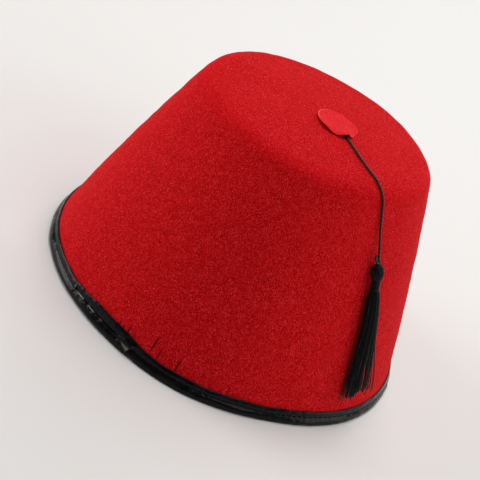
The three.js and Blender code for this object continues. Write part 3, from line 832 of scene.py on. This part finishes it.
def strip_section(deg, middle):
    """The strip's section at one azimuth of its run: its first end stands taller and is pressed up
    from below, and its last end lies further out over it."""
    out, z = middle.T.copy()
    run = math.radians(deg) * RIM_RADIUS
    outside = np.arange(len(out)) < len(out) * 0.52
    above = outside * ease(GROOVE_Z, FLAP_Z, z)
    ring = np.array([math.cos(math.radians(deg)), math.sin(math.radians(deg))]) * RIM_RADIUS
    lap_deg = over_the_lap(deg)

    def flap_scaled(scale):
        return np.where(outside & (z > GROOVE_Z), GROOVE_Z + (z - GROOVE_Z) * scale, z)

    # The roll is puffed unevenly, and the groove is drawn in at each stitch.
    drawn = math.cos(2 * math.pi * run / STITCH_PITCH)
    out += outside * hump(2.4, 1.6, z) * (0.14 * waves(ring, 22, 21) + 0.07 * waves(ring, 6, 22))
    out -= outside * hump(GROOVE_Z, 0.7, z) * (0.08 + 0.1 * drawn)
    out += above * (0.06 * waves(ring, 12, 24) - 0.05 * drawn)
    # The first end.
    taller = ease(*TALL_FROM, deg) * (1 - ease(*TALL_TO, deg))
    z = z + above * 0.16 * (1 - taller) * waves(ring, 15, 23)
    low = 1 - ease(0.6, 2.4, z)
    z = z + 0.5 * (1 - ease(*COVERED_TO, deg)) * low
    z = flap_scaled(1 + 0.8 * taller - 0.25 * (1 - ease(*HIDDEN_TO, deg)))
    # The last end.
    covering = ease(*COVERING_FROM, deg)
    cut_off = ease(*CUT_FROM, deg) * (1 - 0.75 * ease(*CUT_TO, deg))
    out += covering * LAP_OUT * np.where(outside, 1, -1) * (1 - 0.7 * low)
    z = flap_scaled(1 - 0.86 * cut_off)
    out += covering * cut_off * above * 0.12
    # Puckers on both sides of the groove, and wrinkles across the roll.
    puckered = ease(*PUCKERED_FROM, lap_deg) - ease(*PUCKERED_TO, lap_deg)
    puckered = puckered * (0.85 + 0.15 * math.sin(2 * math.pi * run / 5.2))
    out += outside * 0.2 * puckered * (hump(5.5, 0.3, z) + 0.7 * hump(4.15, 0.3, z))
    for wrinkle_deg, wrinkle_z in WRINKLES:
        slanted = hump(wrinkle_deg + 0.9 * (z - wrinkle_z), 0.38, lap_deg)
        out += outside * 0.3 * slanted * hump(wrinkle_z, 0.9, z)
    # The last end's upper corner curls out, and the strip bends a little before it.
    curl = outside * ease(2.6, 6.2, z) * ease(608.5, STRIP_END, deg) ** 1.6
    out += 1.15 * curl
    z = z + 0.35 * curl
    out += outside * 0.22 * hump(606.3, 0.9, deg) * hump(4.2, 1.2, z)
    return out, z


def cut_edge_and_painted_highlights(ring, deg):
    """How pale the vinyl is painted at one ring: a painted highlight at the last end's corner, the pale cloth
    showing at the cut flap's tip, and a broken painted highlight along the crease above the groove."""
    out, z = ring.T
    lap_deg = over_the_lap(deg)
    # Painted highlight on the last end's curled corner.
    slant = STRIP_END - 4.4 * np.clip((z - CORNER_HIGHLIGHT_LOW) / (CORNER_HIGHLIGHT_HIGH - CORNER_HIGHLIGHT_LOW), 0, 1)
    corner_highlight = ((z > CORNER_HIGHLIGHT_LOW) & (z < CORNER_HIGHLIGHT_HIGH)) * ease(slant, slant + 2.2, deg)
    tip = (z > 5.6) * hump(588.9, 0.35, deg)
    wave = np.sin(math.radians(lap_deg) * RIM_RADIUS / 1.7) + 0.6 * np.sin(1.3 * lap_deg)
    where = ease(*GLINT_FROM, lap_deg) - ease(*GLINT_TO, lap_deg)
    # A broken painted highlight along the crease above the groove.
    painted_crease_shade_and_glint = (np.abs(z - GLINT_Z) < GLINT_HALF) * ease(-0.7, 0.5, wave) * where
    return (out > 0.3) * np.clip(0.24 * corner_highlight + 0.22 * tip + 0.42 * painted_crease_shade_and_glint, 0, 1)


def rim_binding():
    """The strip: rings of its section along its run, closed at both ends."""
    middle = smooth_line(STRIP_SECTION, 0.55)
    # Twice as many points beside the groove, where the form is finest.
    between = (middle[:-1] + middle[1:]) / 2
    near = np.flatnonzero((between[:, 0] > 0) & (between[:, 1] > 3.4) & (between[:, 1] < 6.4))
    middle = np.insert(middle, near + 1, between[near], axis=0)
    count = len(middle)
    fine = np.linspace(STRIP_START, STRIP_END, 6001)
    density = 1 + 1.6 * (ease(225, 227, fine) - ease(262, 264, fine)) + 2.6 * ease(584, 587, fine)
    rings, marks = [], []
    for deg in by_density(fine, density, np.linspace(0, 1, STRIP_RINGS)):
        line = np.stack(strip_section(deg, middle), -1)
        slope = unit(np.gradient(line, axis=0))
        normal = np.stack([-slope[:, 1], slope[:, 0]], -1)
        tips = [line[0] - slope[0] * STRIP_THICK * 0.3, line[-1] + slope[-1] * STRIP_THICK * 0.3]
        half = normal * STRIP_THICK / 2
        ring = np.vstack([line + half, tips[1:], (line - half)[::-1], tips[:1]])
        height = np.maximum(ring[:, 1], 0.02)
        lean = 1.1 * ease(STRIP_END - 3, STRIP_END, deg) * (height - 4) / 4
        rings.append(in_plan(face_radius(height) + ring[:, 0], height, np.radians(deg + lean)))
        marks.append(cut_edge_and_painted_highlights(ring, deg))
    sides = len(rings[0])
    marks[-1] = np.zeros(sides)
    quads = [ring_faces(len(rings), sides)]
    tris = []
    i = np.arange(count - 1)
    for first, flip in ((0, False), ((len(rings) - 1) * sides, True)):
        ladder = np.stack([i, i + 1, 2 * count - i - 1, 2 * count - i], -1) + first
        ends = np.array([[count - 1, count, count + 1], [2 * count, 2 * count + 1, 0]]) + first
        quads.append(ladder[:, ::-1] if flip else ladder)
        tris.append(ends[:, ::-1] if flip else ends)
    return solid("rim_binding_strip", BLACK_VINYL, np.vstack(rings), np.vstack(quads), np.vstack(tris),
                 {"cut_edge_and_painted_highlight": np.concatenate(marks)})


def binding_stitches():
    """A row of sunk stitches in the groove, outside and inside."""
    random = np.random.default_rng(9)
    pile = Pile()
    count = round(2 * math.pi * RIM_RADIUS / STITCH_PITCH)
    t = np.linspace(-1, 1, 9)
    for i in range(count):
        deg = STRIP_START + (i + 0.5) * 360 / count + math.degrees(STITCH_HALF / RIM_RADIUS) * t
        out = LAP_OUT * (ease(226, 228, deg) - ease(254, 255, deg)) - 0.4 * t ** 4
        z = GROOVE_Z - 0.1 + 0.12 * t * random.uniform(-1, 1)
        for reach in (0.72 + out, -2.86 - out):
            line = in_plan(face_radius(z) + reach, z, np.radians(deg))
            pile.tube(line, STITCH_RADIUS, 6, random.uniform(0, 1), (0, 0, 1))
    return pile.build("binding_stitches", STITCH_THREAD)


# ---- The disc ----

DISC_X, DISC_Y, DISC_RADIUS, DISC_THICK, DISC_GAP = 5.9, -8.2, 11.3, 0.85, 0.2
# Directions from the disc's middle, in degrees: of the cord, of the straight cut, of the front edge
# that stands up, of the edge that curls, and of the edge with the strongest painted highlight.
CORD_WAY, CUT_WAY, FRONT_WAY, CURL_WAY, HIGHLIGHT_WAY = -52, -6.5, 238, 150, 112
CUT_REACH, CUT_TURN_FROM, CUT_TURN_TO = 10.35, (-36, -30), (17, 23)


def top_disc():
    """A disc cut from thin felt: one side of it is cut straight, its front edge stands up a little,
    and it rides up over the cord."""
    rings, sides, marks = [], 120, []
    turn = 2 * math.pi * np.arange(sides) / sides
    deg = np.degrees(apart(turn, 0))
    near_cut = ease(*CUT_TURN_FROM, deg) - ease(*CUT_TURN_TO, deg)
    straight = CUT_REACH / np.maximum(np.cos(turn - math.radians(CUT_WAY)), 0.5)
    outline = DISC_RADIUS + 0.12 * np.sin(3 * turn + 1) + 0.08 * np.sin(7 * turn)
    outline = outline * (1 - near_cut) + np.minimum(outline, straight) * near_cut
    from_cord = apart(turn, math.radians(CORD_WAY))
    to_front = hump(0, math.radians(42), apart(turn, math.radians(FRONT_WAY)))
    outline = outline - 0.8 * to_front
    # A painted highlight along the top of the edge, strongest on the far side, where the light falls on it.
    edge_highlight = 0.1 + 0.9 * ease(-0.4, 0.6, np.cos(turn - math.radians(HIGHLIGHT_WAY)))

    def underside(share):
        """Places on the disc's underside, at a share of the way out to its edge."""
        reach = outline * share
        x, y = DISC_X + reach * np.cos(turn), DISC_Y + reach * np.sin(turn)
        lift = 1.75 * hump(0, 3.6, from_cord * reach) * ease(0.35, 0.85, share)
        front = 0.9 * to_front * ease(0.25, 1, share)
        curl = 0.35 * ease(0.7, 1, share) * (1 + np.cos(turn - math.radians(CURL_WAY))) / 2
        fold = 0.6 * hump(3.5, 0.8, (x - DISC_X) * 0.8 + (y - DISC_Y) * 0.3) * ease(0.2, 0.5, share)
        wave = 0.12 * waves(np.stack([x, y], -1), 7, 31)
        z = crown_top(x, y) + DISC_GAP + np.maximum(lift, front) + curl + fold + wave
        return np.stack([x, y, z], -1)

    shares = list(np.linspace(0.06, 0.955, 17))
    rounded_edge = [(0.985, 0.1), (1, 0.3), (1.002, 0.6), (0.99, 0.85), (0.965, 1.0)]
    section = [(share, 0.0) for share in shares] + rounded_edge + [(share, 1.0) for share in shares[::-1]]
    for share, level in section:
        rings.append(underside(share) + (0, 0, DISC_THICK * level))
        marks.append(edge_highlight if share > 0.96 and level > 0.5 else np.zeros(sides))
    centre_z = float(crown_top(DISC_X, DISC_Y)) + DISC_GAP
    ends = [(DISC_X, DISC_Y, centre_z), (DISC_X, DISC_Y, centre_z + DISC_THICK)]
    return solid("top_disc_felt", DISC_FELT, np.vstack(rings + [ends]), ring_faces(len(section), sides),
                 end_faces(len(section), sides), {"edge": np.concatenate(marks + [np.zeros(2)])})


# ---- Stage and light ----

# Soft square lights all round: name, azimuth and height angle in degrees, and power in watts. Their
# size is in metres. They stand LIGHT_AWAY from LIT_POINT, in mm.
LIGHTS = [
    ("left", 180, 15, 10.9), ("over", 90, 88, 4.6), ("over_back", 90, 68, 4.5), ("right", 0, 15, 4.2),
    ("front_right", 315, 42, 3.8), ("back_right", 45, 18, 3.6), ("back", 90, 28, 3.9),
]
LIGHT_SIZE, LIGHT_AWAY, LIT_POINT = 0.8, 1250, (0, 0, 60)
FLOOR_HALF = 6000
# The room is pale to look at, and adds only a little light of its own.
WORLD_COLOUR, WORLD_SEEN, WORLD_LIGHT = (0.93, 0.92, 0.90, 1), 0.85, 0.03


def make_stage():
    half = FLOOR_HALF * MM
    mesh = bpy.data.meshes.new("floor")
    corners = [(-half, -half, 0), (half, -half, 0), (half, half, 0), (-half, half, 0)]
    mesh.from_pydata(corners, [], [(0, 1, 2, 3)])
    mesh.materials.append(floor_look())
    floor = bpy.data.objects.new("floor", mesh)
    bpy.context.scene.collection.objects.link(floor)


def make_lights():
    for name, azimuth_deg, rise_deg, power in LIGHTS:
        data = bpy.data.lights.new(name, "AREA")
        data.size, data.energy = LIGHT_SIZE, power
        azimuth, rise = math.radians(azimuth_deg), math.radians(rise_deg)
        level = math.cos(rise)
        back = np.array([math.cos(azimuth) * level, math.sin(azimuth) * level, math.sin(rise)])
        side = unit(np.cross((0, 0, 1), back))
        put(bpy.data.objects.new(name, data), side, np.cross(back, side), back, back * LIGHT_AWAY + LIT_POINT)


def make_room():
    """A pale room that the camera sees brighter than it lights the hat."""
    world = bpy.data.worlds.new("studio")
    world.use_nodes = True
    nodes, links = world.node_tree.nodes, world.node_tree.links
    background = nodes["Background"]
    background.inputs["Color"].default_value = WORLD_COLOUR
    strength, rays = nodes.new("ShaderNodeMapRange"), nodes.new("ShaderNodeLightPath")
    links.new(rays.outputs["Is Camera Ray"], strength.inputs["Value"])
    strength.inputs["To Min"].default_value, strength.inputs["To Max"].default_value = WORLD_LIGHT, WORLD_SEEN
    links.new(strength.outputs["Result"], background.inputs["Strength"])
    bpy.context.scene.world = world
    bpy.context.scene.view_settings.view_transform = "Standard"


# ---- The scene ----

make_camera()
cord, cord_line = tassel_cord()
knot, head, neck = cord_knot(), tassel_head(), tassel_neck()
skirt = tassel_skirt()
cap, binding, stitches, disc = felt_crown(), rim_binding(), binding_stitches(), top_disc()

# Each piece, the CAD node that it replaces, and its slot. The stitches are in no CAD node.
PIECES = [
    (cap, "felt_crown", "red_felt"), (binding, "rim_binding", "black_vinyl"),
    (disc, "top_disc", "disc_felt"), (cord, "tassel_cord", "black_cord"),
    (knot, "cord_knot", "black_cord"), (head, "tassel_head", "black_thread"),
    (neck, "tassel_neck", "black_thread"), (skirt, "tassel_skirt", "black_thread"),
    (stitches, None, "black_thread"),
]
for piece, node, slot in PIECES:
    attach(piece, "root")
    if node:
        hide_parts(node)

make_stage()
make_lights()
make_room()
